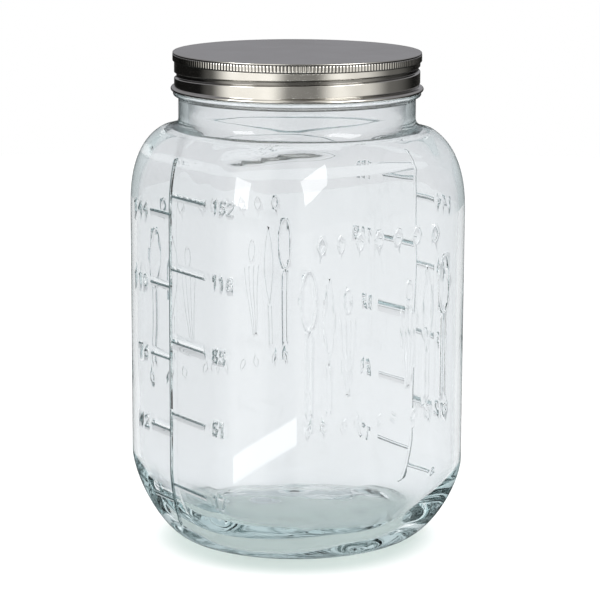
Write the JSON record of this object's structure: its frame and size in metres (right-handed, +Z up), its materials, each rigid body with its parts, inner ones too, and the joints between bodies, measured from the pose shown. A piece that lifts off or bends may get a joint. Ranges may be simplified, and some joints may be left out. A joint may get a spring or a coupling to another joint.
{
  "type": "coin bank jar",
  "caption": "Large rounded-square glass jar with raised fill scales and a knurled steel screw lid that unscrews and lifts clear.",
  "frame": {"origin": "middle of the ring that the jar stands on", "axes": "+Z up along the neck; the graduated faces look along -X and +X, the decorated faces along -Y and +Y"},
  "size_m": [0.168, 0.168, 0.285],
  "materials": {
    "glass": "clear, slightly green soda-lime glass, fire-polished",
    "lid_steel": "satin brushed steel",
    "liner": "matt flowed-in sealing compound"
  },
  "bodies": {
    "jar": {"glass_jar": "glass"},
    "lid_seal": {"lid_liner": "liner"},
    "lid": {"lid_shell": "lid_steel"}
  },
  "joints": [
    {"name": "lid_rise", "type": "slide", "parent": "jar", "child": "lid_seal", "axis": [0, 0, 1], "range_m": [0, 0.0251]},
    {"name": "lid_turn", "type": "hinge", "parent": "lid_seal", "child": "lid", "pos_m": [0, 0, 0.27], "axis": [0, 0, 1], "range_deg": [0, 900]}
  ],
  "couplings": [
    {"joint": "lid_rise", "follows": "lid_turn", "m_per_rad": 0.0015915}
  ]
}
